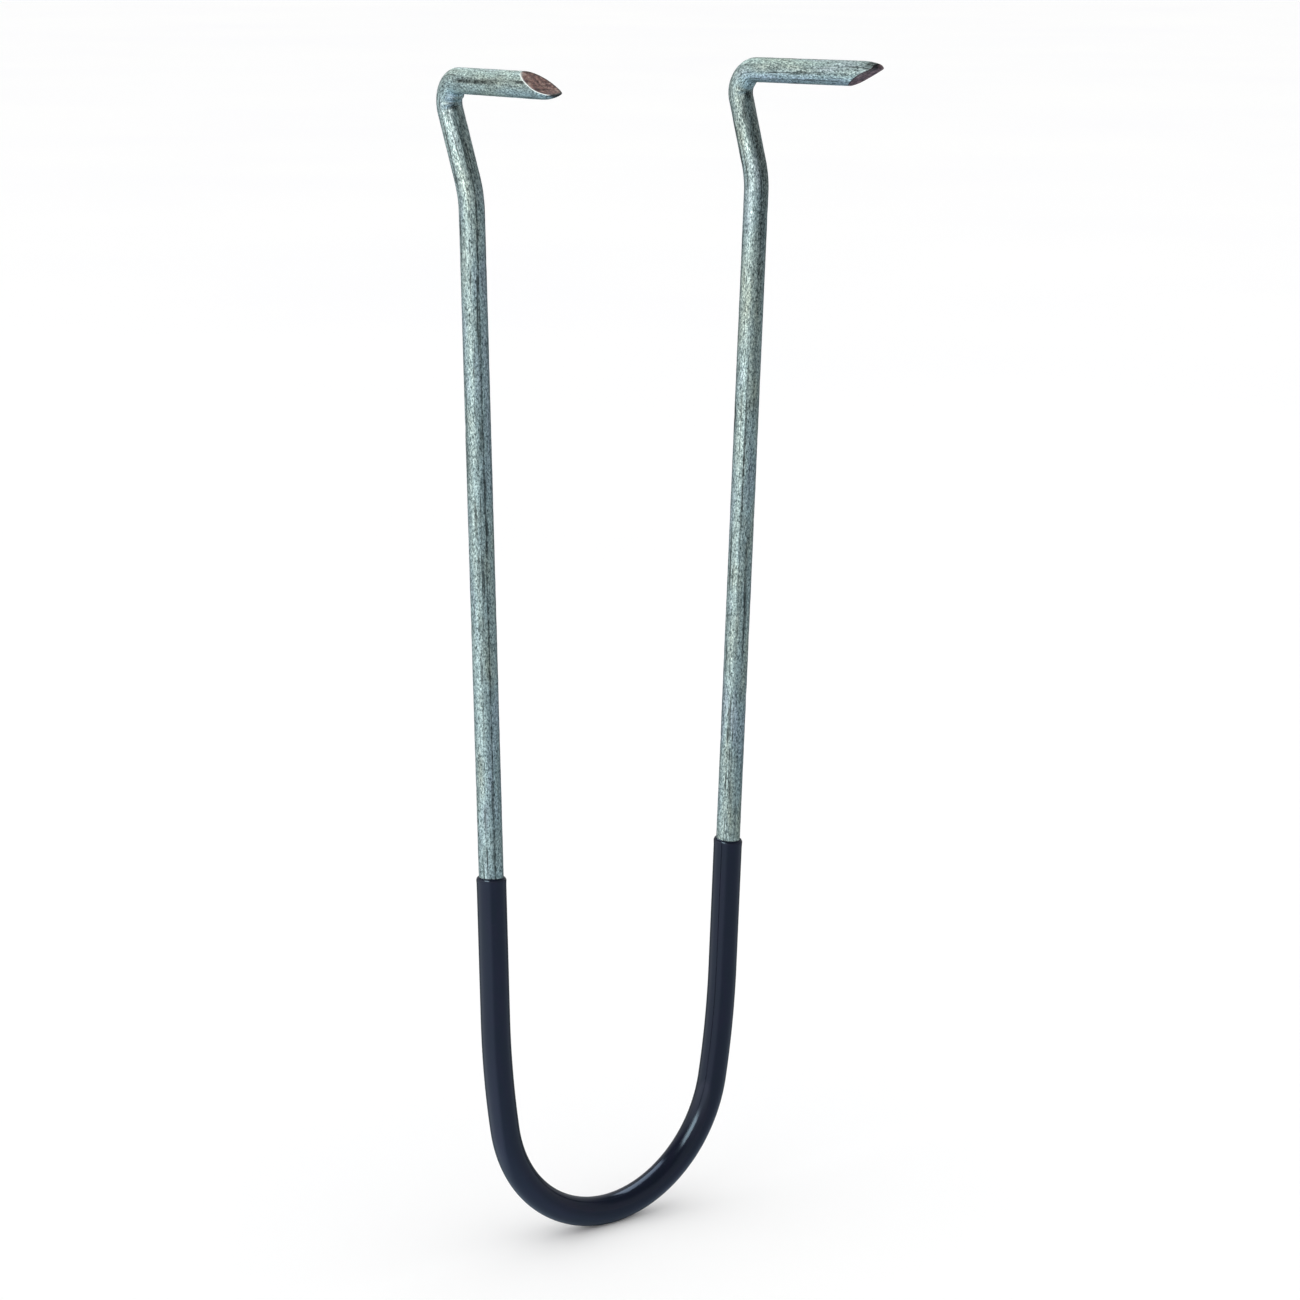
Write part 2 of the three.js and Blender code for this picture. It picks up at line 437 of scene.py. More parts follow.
def cut_plane(side):
    """Where a cut crosses the point's axis, and its slopes towards top and inside.

    All three are for the cut as seen on the +X half, so the -X one is mirrored first.
    """
    mirror = np.array([side, 1.0, 1.0])
    mount = cut_mount(side)
    normal = np.array(mount["axis"]) * mirror
    axis, back, inside = PATH.runs[-1].axes
    offset = np.array(mount["pos_m"]) / MM * mirror - PATH.runs[-1].point
    across = float(normal @ axis)
    cut_at = CORNER_END + float(offset @ normal) / across
    return cut_at, -(normal @ back) / across, -(normal @ inside) / across


class Tip:
    """How one point's end differs from the plain CAD cut, in millimetres.

    slant stretches the cut back from its tip, advance moves it outwards, twist moves its inner
    side outwards and its outer side back, and blunt is what the tip then loses. curl bends the thin
    tongue towards the cut over its last reach, and pinch is the share of its width that it loses.
    """

    def __init__(self, side, slant, advance, twist, blunt, curl, reach, pinch):
        self.side, self.twist = side, twist
        self.slant, self.advance, self.blunt = slant, advance, blunt
        self.curl, self.reach, self.pinch = curl, reach, pinch
        cut_at, top_slope, inside_slope = cut_plane(side)
        self.cut_at = cut_at
        self.slope = math.hypot(top_slope, inside_slope)
        self.angle = math.atan2(inside_slope, top_slope)
        self.end = cut_at + self.slope * WIRE_RADIUS

    def cut_distance(self, radius, angle):
        """Where the cut surface lies, at radii and angles round the wire."""
        plain = self.cut_at + self.slope * radius * np.cos(angle - self.angle)
        slanted = self.end - (self.end - plain) * self.slant + self.advance
        slanted = slanted + self.twist * radius / WIRE_RADIUS * np.sin(angle)
        return smooth_least(slanted, self.end - self.blunt, TIP_ROUND)

    def shape(self, distance, toward_back, toward_inside):
        """Section offsets after the tongue is curled and pinched."""
        here = distance * self.side > 0
        share = (np.abs(distance) - (self.end - self.reach)) / self.reach
        past = np.clip(share, 0, CURL_LIMIT) ** 2 * here
        cosine, sine = math.cos(self.angle), math.sin(self.angle)
        out = toward_back * cosine + toward_inside * sine
        aside = toward_inside * cosine - toward_back * sine
        out = out - self.curl * past
        aside = aside * (1 - self.pinch * past)
        return out * cosine - aside * sine, out * sine + aside * cosine


def smooth_least(first, second, rounding):
    """The lesser of two distances, blended smoothly where they meet."""
    share = np.clip(0.5 + 0.5 * (second - first) / rounding, 0, 1)
    return second * (1 - share) + first * share - rounding * share * (1 - share)


def half_wire(tip, angle):
    """Distances, shares of the radius and the first cut ring of one half, from the U outwards."""
    square_end = tip.cut_distance(WIRE_RADIUS, angle).min() - SQUARE_MARGIN
    square = body_rings(square_end)
    rows = [np.full_like(angle, d) for d in square]
    shares = [np.ones_like(angle) for _ in square]
    edge = tip.cut_distance(WIRE_RADIUS, angle) - CUT_EDGE_DEPTH
    for t in np.linspace(0, 1, POINT_RINGS + 1)[:-1]:
        rows.append(square_end + (edge - square_end) * t)
        shares.append(np.ones_like(angle))
    on_face = len(rows)
    for share in face_shares():
        inward = (1 - share) * WIRE_RADIUS / CUT_EDGE_ROUND
        fall = CUT_EDGE_DEPTH * (1 - math.sqrt(1 - (1 - min(inward, 1)) ** 2))
        rows.append(tip.cut_distance(WIRE_RADIUS * share, angle) - fall)
        shares.append(np.full_like(angle, share))
    return np.array(rows) * tip.side, np.array(shares), on_face


def face_shares():
    """Shares of the radius for the rings of a cut face, closer together at its rounded edge."""
    rounding = CUT_EDGE_ROUND / WIRE_RADIUS
    edge = 1 - rounding * (1 - np.cos(np.linspace(0, math.pi / 2, EDGE_RINGS)))
    inner = np.linspace(1 - rounding, FACE_MIDDLE, FACE_RINGS)[1:]
    return np.concatenate([edge, inner])


def wire_relief(distance, angle):
    """How far the wire's skin stands off its true radius: zinc lumps, draw lines and tool marks."""
    space = wire_space(distance, angle, WIRE_RADIUS)
    lumps = smooth_noise(space * [0.9, 0.9, 0.5], 3)
    lines = smooth_noise(space * [1.6, 1.6, 0.035] + 40.0)
    grain = smooth_noise(space * [2.4, 2.4, 1.1] + 80.0)
    skin = LUMP_HEIGHT * lumps + DRAW_HEIGHT * lines + GRAIN_HEIGHT * grain
    return skin + corner_marks(distance, angle) + pits(distance, angle)


def tool_marks(side, fill, crease):
    """The bending tool's marks on one corner: height, place and reach of each, in the same form as
    the soft darkenings.
    """
    middle = side * CORNER_MIDDLE
    below, above = side * (CORNER_START - 0.2), side * (CORNER_START + 0.9)
    return [
        (fill, (middle, FRONT), (0.75, 0.75)),
        (-crease, (below, FRONT - side * 0.9), (0.55, 0.42)),
        (0.09, (above, FRONT - side * 0.6), (0.35, 0.6)),
        (-0.06, (middle, BACK), (1.8, 0.8)),
    ]


def corner_marks(distance, angle):
    """The pinched inner corner that the bending tool leaves, sharper on the -X side."""
    relief = np.zeros_like(distance)
    for height, place, reach in tool_marks(-1, 0.42, 0.17) + tool_marks(1, 0.16, 0.11):
        relief += height * bump_at(distance, angle, place, reach)
    return relief


def pits(distance, angle):
    """Small dents, scattered over the open wire and lined up along a seam on each point."""
    rng = np.random.default_rng(7)
    relief = np.zeros_like(distance)
    places = []
    for side in (-1, 1):
        for _ in range(PITS_PER_HALF):
            along = side * rng.uniform(HIDDEN_LENGTH, PATH.length - 6)
            places.append((along, rng.uniform(0, 2 * math.pi)))
    for d in np.arange(CORNER_END + 1.0, PATH.length - 9.0, SEAM_PIT_SPACING):
        places.append((-(d + rng.normal(0, 0.2)), SEAM_ANGLE + rng.normal(0, 0.08)))
        places.append((d + rng.normal(0, 0.3), INSIDE - 0.1 + rng.normal(0, 0.12)))
    for place in places:
        reach = rng.uniform(*PIT_LENGTHS), rng.uniform(*PIT_WIDTHS)
        near = np.abs(distance - place[0]) < 3 * reach[0]
        depth = rng.uniform(*PIT_DEPTHS)
        relief[near] -= depth * bump_at(distance[near], angle[near], place, reach)
    return relief


def cut_relief(share, angle, tip):
    """Shear marks across a cut face, along the wire: a slight dish and torn ridges."""
    across = share * WIRE_RADIUS * np.sin(angle - tip.angle)
    along = share * WIRE_RADIUS * np.cos(angle - tip.angle)
    space = np.stack([across, along, np.full_like(along, 9.0 * tip.side)], axis=-1)
    tears = TEAR_HEIGHT * smooth_noise(space * [4.0, 1.6, 1.0], 3)
    dish = -DISH_DEPTH * (1 - share**2)
    return (tears * np.clip((1 - share) * TEAR_FADE, 0, 1) + dish) * tip.side


def stains_and_painted_shade(distance, angle, share, on_face, tips):
    """How dark the wire is made, from 0 to 1: stains, rows of dots, the tips' black ends and the
    cut faces' dark rims, with painted shade in the pinched corners, below the +X point and under
    the -X tip.
    """
    rng = np.random.default_rng(11)
    stain = np.zeros_like(distance)
    # The first three soft darkenings are painted shade, the rest are stains
    for strength, place, reach in STAINS_AND_PAINTED_SHADE:
        stain += strength * bump_at(distance, angle, place, reach)
    for start, end, centre, strength, spread in DOTTED_LINES:
        for d in np.arange(start, end, DOT_SPACING):
            place = d + rng.normal(0, DOT_SCATTER), centre + rng.normal(0, spread)
            near = np.abs(distance - place[0]) < DOT_LIMIT
            reach = rng.uniform(*DOT_LENGTHS), rng.uniform(*DOT_WIDTHS)
            dot = bump_at(distance[near], angle[near], place, reach)
            stain[near] += rng.uniform(LEAST_DOT, strength) * dot
    left, right = tips
    # Painted shade along the underside of the -X tip
    past = risen(-distance, left.end - LEFT_UNDERSIDE_SHADE, TIP_DARKENING_FADE)
    stain += past * ~on_face * faced(angle, OUTSIDE - 0.9, 1.6)
    stain += risen(-distance, left.end - LEFT_FACE_STAIN, TIP_DARKENING_FADE) * on_face
    past = risen(distance, right.end - RIGHT_SKIN_STAIN, TIP_DARKENING_FADE)
    stain += past * np.exp(-((angle_apart(angle, BACK + 0.5) / RIGHT_STAIN_REACH) ** 2))
    rim = np.exp(-(((1 - share) * WIRE_RADIUS / DARK_RIM_WIDTH) ** 2)) * on_face
    stain += rim * faced(angle, INSIDE, 1.8)
    return np.clip(stain, 0, 1)


def zinc_edge(distance, angle, share):
    """The bright line of zinc on the rim of the -X cut, along the side away from the U."""
    rim = np.exp(-(((1 - share) * WIRE_RADIUS / ZINC_RIM_WIDTH) ** 2))
    return rim * (distance < 0) * faced(angle, OUTSIDE, 1.6)


def build_wire():
    """The whole wire, as one closed mesh with its cut faces in a second material."""
    tips = [
        Tip(-1, slant=1.21, advance=0.4, twist=0.45, blunt=0.0, curl=0.55, reach=3.2, pinch=0.2),
        Tip(1, slant=0.96, advance=0.75, twist=0.0, blunt=0.42, curl=0.42, reach=3.2, pinch=0.15),
    ]
    angle = np.linspace(0, 2 * math.pi, WIRE_SIDES, endpoint=False)
    left, left_share, left_face = half_wire(tips[0], angle)
    right, right_share, right_face = half_wire(tips[1], angle)
    distance = np.concatenate([left[::-1], right[1:]])
    share = np.concatenate([left_share[::-1], right_share[1:]])
    angles = np.broadcast_to(angle, distance.shape)
    radius = share * (WIRE_RADIUS + wire_relief(distance, angles))
    rows = len(distance)
    first_face, last_face = len(left) - left_face, rows - 1 - (len(right) - right_face)
    on_face = np.zeros(distance.shape, bool)
    on_face[:first_face] = on_face[last_face + 1:] = True
    marks = stains_and_painted_shade(distance, angles, share, on_face, tips)
    zinc = zinc_edge(distance, angles, share)
    for tip in tips:
        face = on_face & (share < 1) & (distance * tip.side > 0)
        distance = np.where(face, distance + cut_relief(share, angles, tip), distance)
    space = wire_space(distance, angles, radius)
    toward_back, toward_inside = radius * np.cos(angles), radius * np.sin(angles)
    for tip in tips:
        toward_back, toward_inside = tip.shape(distance, toward_back, toward_inside)
    points = sweep_offsets(distance, toward_back, toward_inside)
    faces = closed_grid_faces(rows, WIRE_SIDES).tolist()
    row = np.arange(len(faces)) // WIRE_SIDES
    on_cut = ((row < first_face) | (row >= last_face)).tolist()

    def capped(values):
        """Values at every vertex, with the two middle points that close the cut faces."""
        ends = np.stack([values[0].mean(0), values[-1].mean(0)])
        return np.concatenate([values.reshape(-1, *values.shape[2:]), ends])

    first, last = rows * WIRE_SIDES, rows * WIRE_SIDES + 1
    last_row = (rows - 1) * WIRE_SIDES
    for i in range(WIRE_SIDES):
        beside = (i + 1) % WIRE_SIDES
        faces.append([first, beside, i])
        faces.append([last, last_row + i, last_row + beside])
        on_cut += [True, True]
    layers = {"wire_space": capped(space), "stains_and_painted_shade": capped(marks), "zinc_edge": capped(zinc)}
    piece = make_object("bent_wire", capped(points), faces, layers)
    piece.data.materials.append(galvanised_steel())
    piece.data.materials.append(sheared_steel())
    piece.data.polygons.foreach_set("material_index", np.array(on_cut, np.int32))
    return piece


# ------------------------------------------------------------------------------ vinyl coating

COATING_SIDES = 72
COATING_SPACING, INNER_SPACING = 0.45, 2.0
INNER_CLEARANCE = 0.02

# The rims: the rolled lip's length, the power that shapes its fall and its rings, how far the dip
# creeps up the legs, the tilt of the -X rim and the bead just below each rim
LIP_LENGTH, LIP_SLOPE, LIP_RINGS = 0.50, 1.3, 9
RIM_CREEP = 0.32
LEFT_RIM_PITCH = math.radians(-2.0)
BEAD_HEIGHT, BEAD_LENGTH = 0.055, 0.6

# The extra vinyl under the bend, how far it reaches along it, and the height of the runs
SAG_HEIGHT, SAG_LENGTH = 0.13, 22.0
RUN_HEIGHT = 0.012


def rim_distance(side, angle, radius):
    """Where the dip's surface crosses a leg at each angle round it, after creeping up a little."""
    pitch = DIP_PITCH if side > 0 else LEFT_RIM_PITCH
    plane = unit(np.array([math.tan(DIP_TILT), -math.tan(pitch), 1.0]))
    level = saddle_centre() + UP * (COATED_HEIGHT - SADDLE_RADIUS - COATED_RADIUS)
    start = np.full_like(angle, side * HIDDEN_LENGTH)
    point = sweep_points(start, angle, radius)
    _, (tangent, _, _) = PATH.at(start)
    rise = (level - point) @ plane / (tangent @ plane)
    return start + rise + side * RIM_CREEP


def coating_radius(distance, angle, rims):
    """The dipped skin's radius: heavier under the bend and at its rims, with faint runs."""
    near_bottom = np.clip(1 - np.abs(distance) / SAG_LENGTH, 0, 1) ** 2
    under_bend = near_bottom * np.clip(-np.sin(angle), 0, 1)
    space = wire_space(distance, angle, COATED_RADIUS)
    runs = smooth_noise(space * [0.5, 0.5, 0.07] + 12.0)
    from_rim = np.minimum(*(np.abs(distance - rims[side]) for side in rims))
    bead = BEAD_HEIGHT * np.exp(-((from_rim / BEAD_LENGTH) ** 2))
    return COATED_RADIUS + SAG_HEIGHT * under_bend + RUN_HEIGHT * runs + bead


def build_coating():
    """The coating as one closed tube: its outer skin, both rolled rims and the bore."""
    angle = np.linspace(0, 2 * math.pi, COATING_SIDES, endpoint=False)
    outer = np.full_like(angle, COATED_RADIUS)
    rims = {side: rim_distance(side, angle, outer) for side in (-1, 1)}
    inner = np.full_like(angle, WIRE_RADIUS + INNER_CLEARANCE)
    rows, radii = [], []

    def lip(side, falls):
        for fall in falls:
            back_off = LIP_LENGTH * (1 - math.sin(fall))
            rows.append(rims[side] - side * back_off)
            skin = coating_radius(rows[-1], angle, rims)
            radii.append(inner + (skin - inner) * math.cos(fall) ** LIP_SLOPE)

    falls = np.linspace(0, math.pi / 2, LIP_RINGS)
    lip(-1, falls[::-1])
    middle_rows = int(2 * HIDDEN_LENGTH / COATING_SPACING)
    for t in np.linspace(0, 1, middle_rows)[1:-1]:
        start, end = rims[-1] + LIP_LENGTH, rims[1] - LIP_LENGTH
        rows.append(start + (end - start) * t)
        radii.append(coating_radius(rows[-1], angle, rims))
    lip(1, falls)
    inner_rows = int(2 * HIDDEN_LENGTH / INNER_SPACING)
    for t in np.linspace(0, 1, inner_rows)[1:-1]:
        rows.append(rims[1] + (rims[-1] - rims[1]) * t)
        radii.append(inner)
    distance, radius = np.array(rows), np.array(radii)
    angles = np.broadcast_to(angle, distance.shape)
    points = sweep_points(distance, angles, radius).reshape(-1, 3)
    count = len(rows)
    faces = closed_grid_faces(count, COATING_SIDES).tolist()
    last = (count - 1) * COATING_SIDES
    for i in range(COATING_SIDES):
        beside = (i + 1) % COATING_SIDES
        faces.append([last + i, last + beside, beside, i])
    space = wire_space(distance, angles, radius).reshape(-1, 3)
    piece = make_object("dipped_coating", points, faces, {"wire_space": space})
    piece.data.materials.append(dipped_vinyl())
    return piece


# ---------------------------------------------------------------------------------- materials

# The mix node's sockets for colours, which share their names with those for other values
MIX_FACTOR, MIX_FIRST, MIX_SECOND, MIX_RESULT = 0, 6, 7, 2

# Dark marks on the zinc, from the faintest to the blackest, and the two tones of a cut's edge. The
# blackest also paints the shade in the pinched corners, below the +X point and under the -X tip.
DRAW_COLOUR = (0.07, 0.085, 0.080, 1.0)
LINE_COLOUR = (0.030, 0.038, 0.034, 1.0)
STAIN_AND_SHADE_COLOUR = (0.022, 0.028, 0.026, 1.0)
BRIGHT_EDGE = (0.92, 0.98, 0.96, 1.0)
BLACK_EDGE = (0.012, 0.013, 0.014, 1.0)

# The vinyl's dust and the tint of its sheen
DUST_COLOUR = (0.05, 0.06, 0.07, 1.0)
SHEEN_COLOUR = (0.60, 0.68, 0.93, 1.0)
VINYL_IOR = 1.55


class Nodes:
    """A small helper that adds nodes to an emptied tree and wires them by name."""

    def __init__(self, tree):
        self.tree = tree
        self.tree.nodes.clear()

    def add(self, kind, **settings):
        node = self.tree.nodes.new(kind)
        for key, value in settings.items():
            setattr(node, key, value)
        return node

    def put(self, socket, value):
        """Wires an output into a socket, or sets the socket's own value."""
        if isinstance(value, bpy.types.NodeSocket):
            self.tree.links.new(value, socket)
        else:
            socket.default_value = value

    def coordinate(self, name="wire_space"):
        return self.add("ShaderNodeAttribute", attribute_name=name)

    def stretched(self, vector, scale, shift=(0.0, 0.0, 0.0)):
        node = self.add("ShaderNodeMapping")
        self.put(node.inputs["Vector"], vector)
        node.inputs["Scale"].default_value = scale
        node.inputs["Location"].default_value = shift
        return node.outputs["Vector"]

    def noise(self, vector, detail=3.0, roughness=0.55):
        node = self.add("ShaderNodeTexNoise")
        self.put(node.inputs["Vector"], vector)
        node.inputs["Scale"].default_value = 1.0
        node.inputs["Detail"].default_value = detail
        node.inputs["Roughness"].default_value = roughness
        return node.outputs["Fac"]

    def ramp(self, value, stops, smooth=False):
        """A colour ramp from (position, colour) stops, where a plain number is a grey."""
        node = self.add("ShaderNodeValToRGB")
        node.color_ramp.interpolation = "EASE" if smooth else "LINEAR"
        elements = node.color_ramp.elements
        while len(elements) < len(stops):
            elements.new(0.5)
        for element, (position, colour) in zip(elements, stops, strict=True):
            element.position = position
            element.color = (*colour, 1.0) if isinstance(colour, tuple) else (colour,) * 3 + (1.0,)
        self.put(node.inputs["Fac"], value)
        return node.outputs["Color"]

    def mix(self, factor, first, second, blend="MIX"):
        node = self.add("ShaderNodeMix", data_type="RGBA", blend_type=blend)
        self.put(node.inputs[MIX_FACTOR], factor)
        self.put(node.inputs[MIX_FIRST], first)
        self.put(node.inputs[MIX_SECOND], second)
        return node.outputs[MIX_RESULT]

    def math(self, operation, first, second=0.0, third=0.0):
        node = self.add("ShaderNodeMath", operation=operation)
        for socket, value in zip(node.inputs, (first, second, third), strict=True):
            self.put(socket, value)
        return node.outputs["Value"]

    def bump(self, height, distance, strength, normal=None):
        """A bump of the given depth in metres, on top of an earlier bump's normal if given."""
        node = self.add("ShaderNodeBump")
        self.put(node.inputs["Height"], height)
        node.inputs["Distance"].default_value = distance
        node.inputs["Strength"].default_value = strength
        if normal is not None:
            self.put(node.inputs["Normal"], normal)
        return node.outputs["Normal"]

    def facing(self, vector, direction):
        """How far a vector points along a fixed unit direction, from -1 to 1."""
        node = self.add("ShaderNodeVectorMath", operation="DOT_PRODUCT")
        self.put(node.inputs[0], vector)
        node.inputs[1].default_value = direction
        return node.outputs["Value"]

    def spread(self, value, low, high):
        """A value mapped so that low becomes 0 and high becomes 1, for use in a ramp."""
        node = self.add("ShaderNodeMapRange")
        self.put(node.inputs["Value"], value)
        node.inputs["From Min"].default_value = low
        node.inputs["From Max"].default_value = high
        return node.outputs["Result"]


class Shader(Nodes):
    """The nodes of a new material, with one principled surface."""

    def __init__(self, name):
        self.material = bpy.data.materials.new(name)
        self.material.use_nodes = True
        super().__init__(self.material.node_tree)
        self.surface = self.add("ShaderNodeBsdfPrincipled")
        output = self.add("ShaderNodeOutputMaterial")
        self.tree.links.new(self.surface.outputs["BSDF"], output.inputs["Surface"])

    def finish(self, **inputs):
        for key, value in inputs.items():
            self.put(self.surface.inputs[key.replace("_", " ")], value)
        return self.material


def drawn_line(s, space, centre, start, end, width, strength):
    """A mask for one broken dark line along the wire, whose values are a row of DRAWN_LINES."""
    parts = s.add("ShaderNodeSeparateXYZ")
    s.put(parts.inputs[0], space)
    around = s.math("ARCTAN2", parts.outputs["Y"], parts.outputs["X"])
    wander = s.noise(s.stretched(space, (0.0, 0.0, 0.13)), detail=1.0)
    place = angle_apart(centre, 0.0) - 0.5 * LINE_WANDER
    aside = s.math("SUBTRACT", around, s.math("MULTIPLY_ADD", wander, LINE_WANDER, place))
    near = s.spread(s.math("ABSOLUTE", aside), width, 0.25 * width)
    along = parts.outputs["Z"]
    fade_in = s.spread(along, start, start + LINE_FADE)
    fade_out = s.spread(along, end, end - LINE_FADE)
    ends = s.math("MULTIPLY", fade_in, fade_out)
    gaps = s.noise(s.stretched(space, (0.0, 0.0, 1.1), (0.0, 0.0, centre)))
    broken = s.ramp(gaps, [(0.36, 0.25), (0.56, 1.0)])
    line = s.math("MULTIPLY", near, ends)
    return s.math("MULTIPLY", line, s.math("MULTIPLY", broken, strength))


def galvanised_steel():
    """Dull zinc: fine grain over soft mottling, long dark draw lines, blue and olive tints."""
    s = Shader("galvanised_steel")
    space = s.coordinate().outputs["Vector"]
    stain_and_shade = s.coordinate("stains_and_painted_shade").outputs["Fac"]
    mottle = s.noise(s.stretched(space, (1.7, 1.7, 0.40)), roughness=0.6)
    grain = s.noise(s.stretched(space, (6.2, 6.2, 2.8), (5.0, 0.0, 0.0)), roughness=0.7)
    streaks = s.noise(s.stretched(space, (2.6, 2.6, 0.05), (0.0, 9.0, 0.0)), roughness=0.6)
    breaks = s.noise(s.stretched(space, (0.9, 0.9, 0.30), (3.0, 3.0, 0.0)), detail=2.0)
    clouds = s.noise(s.stretched(space, (0.42, 0.42, 0.09), (0.0, 0.0, 31.0)), detail=2.0)
    base = s.ramp(grain, [
        (0.33, (0.060, 0.078, 0.080)),
        (0.43, (0.280, 0.336, 0.342)),
        (0.53, (0.540, 0.625, 0.625)),
        (0.65, (0.900, 0.980, 0.965)),
    ])
    soft = s.ramp(mottle, [(0.33, 0.70), (0.50, 0.98), (0.66, 1.0)])
    base = s.mix(1.0, base, soft, "MULTIPLY")
    tint = s.ramp(clouds, [
        (0.34, (0.93, 0.96, 1.00)),
        (0.48, (0.92, 1.00, 0.97)),
        (0.60, (0.96, 1.00, 0.93)),
        (0.76, (1.00, 0.98, 0.82)),
    ])
    base = s.mix(1.0, base, tint, "MULTIPLY")
    clean = s.ramp(streaks, [(0.38, 0.0), (0.46, 1.0)])
    worn = s.ramp(breaks, [(0.42, 0.2), (0.58, 0.9)])
    drawn = s.math("MULTIPLY", s.math("SUBTRACT", 1.0, clean), worn)
    base = s.mix(drawn, base, DRAW_COLOUR)
    # Stains, and painted shade in the corners, below the +X point and under the -X tip
    stained_and_shaded = s.math("MULTIPLY", stain_and_shade, s.ramp(grain, [(0.40, 1.0), (0.70, 0.55)]))
    base = s.mix(stained_and_shaded, base, STAIN_AND_SHADE_COLOUR)
    for line in DRAWN_LINES:
        base = s.mix(drawn_line(s, space, *line), base, LINE_COLOUR)
    rough = s.ramp(grain, [(0.3, 0.56), (0.55, 0.43), (0.75, 0.33)])
    normal = s.bump(mottle, 0.07 * MM, 0.8)
    normal = s.bump(grain, 0.05 * MM, 0.8, normal)
    return s.finish(Base_Color=base, Metallic=1.0, Roughness=rough, Normal=normal)


def sheared_steel():
    """Bare steel on a cut face: rust-brown with torn flecks and a thin zinc line on one edge."""
    s = Shader("sheared_steel")
    space = s.coordinate().outputs["Vector"]
    bright = s.coordinate("zinc_edge").outputs["Fac"]
    stain_and_shade = s.coordinate("stains_and_painted_shade").outputs["Fac"]
    patches = s.stretched(space, (1.5, 1.5, 0.8), (3.0, 0.0, 0.0))
    blotch = s.noise(patches, detail=4.0, roughness=0.65)
    shreds = s.stretched(space, (5.0, 2.2, 1.2), (0.0, 7.0, 0.0))
    tears = s.noise(shreds, detail=4.0, roughness=0.7)
    base = s.ramp(blotch, [
        (0.30, (0.070, 0.045, 0.055)),
        (0.44, (0.150, 0.082, 0.075)),
        (0.57, (0.235, 0.140, 0.118)),
        (0.70, (0.340, 0.270, 0.240)),
    ])
    # The +X cut faces down, so its face is tinted blue: a painted cast of the light from below
    parts = s.add("ShaderNodeSeparateXYZ")
    s.put(parts.inputs[0], space)
    on_right = s.spread(parts.outputs["Z"], -1.0, 1.0)
    painted_blue_underlight = s.ramp(on_right, [(0.4, (1.0, 1.0, 1.0)), (0.6, (0.72, 0.80, 0.98))])
    base = s.mix(1.0, base, painted_blue_underlight, "MULTIPLY")
    marks = s.ramp(tears, [(0.38, 0.30), (0.5, 0.95), (0.64, 1.7)])
    base = s.mix(0.85, base, marks, "MULTIPLY")
    base = s.mix(bright, base, BRIGHT_EDGE)
    base = s.mix(stain_and_shade, base, BLACK_EDGE)
    rough = s.ramp(tears, [(0.3, 0.65), (0.7, 0.42)])
    normal = s.bump(tears, 0.12 * MM, 0.9)
    return s.finish(Base_Color=base, Metallic=0.45, Roughness=rough, Normal=normal)


def dipped_vinyl():
    """Blue-black dipped vinyl: glossy, faintly mottled, with fine runs along the wire."""
    s = Shader("dipped_vinyl")
    space = s.coordinate().outputs["Vector"]
    clouds = s.noise(s.stretched(space, (0.8, 0.8, 0.35)))
    runs = s.noise(s.stretched(space, (1.6, 1.6, 0.06), (0.0, 4.0, 0.0)))
    peel = s.noise(s.stretched(space, (1.3, 1.3, 0.7), (8.0, 0.0, 0.0)), detail=2.0)
    specks = s.stretched(space, (7.0, 7.0, 5.0), (2.0, 2.0, 2.0))
    dust = s.noise(specks, detail=2.0, roughness=0.7)
    base = s.ramp(clouds, [
        (0.30, (0.0036, 0.0058, 0.0100)),
        (0.50, (0.0042, 0.0055, 0.0112)),
        (0.70, (0.0056, 0.0054, 0.0126)),
    ])
    base = s.mix(s.ramp(dust, [(0.68, 0.0), (0.78, 0.3)]), base, DUST_COLOUR)
    rough = s.ramp(runs, [(0.3, 0.13), (0.6, 0.19), (0.8, 0.24)])
    normal = s.bump(peel, 0.02 * MM, 0.5)
    normal = s.bump(runs, 0.02 * MM, 0.35, normal)
    return s.finish(
        Base_Color=base, Roughness=rough, Normal=normal, IOR=VINYL_IOR, Specular_Tint=SHEEN_COLOUR
    )


# ------------------------------------------------------------------------------------- stage

FLOOR_SIZE = 60.0

# The camera: how far it stands round to the hook's left, how far it looks down, its roll, its
# distance from the point it aims at, that point's place in the hook's own plane, and its lens
CAMERA_TURN = math.radians(39.42)
CAMERA_DROP = math.radians(12.41)
CAMERA_ROLL = math.radians(0.61)
CAMERA_DISTANCE = 464.1
AIM_ASIDE, AIM_HEIGHT = 5.87, 77.08
CAMERA_LENS = 99.18
CLIP_START = 0.01

# Turns are in degrees from the camera towards its left, and rises in degrees above level.
# Lights: name, turn, rise, (width, height) in metres, radiance and colour
STEEL_LIGHTS = [
    ("steel_side", 44, 23, (0.28, 1.00), 5.0, (1.0, 0.98, 0.94)),
    ("steel_overhead", -8, 73, (1.05, 0.60), 0.9, (0.92, 0.97, 1.0)),
    ("steel_back", 148, 42, (1.10, 0.75), 1.35, (0.94, 1.0, 0.96)),
]
VINYL_LIGHTS = [
    ("vinyl_side", 38, 37, (0.70, 0.54), 8.5, (0.84, 1.0, 0.86)),
    ("vinyl_back", 162, 57, (0.95, 0.72), 3.3, (0.78, 0.93, 1.0)),
]
LIGHT_DISTANCE = 1.2

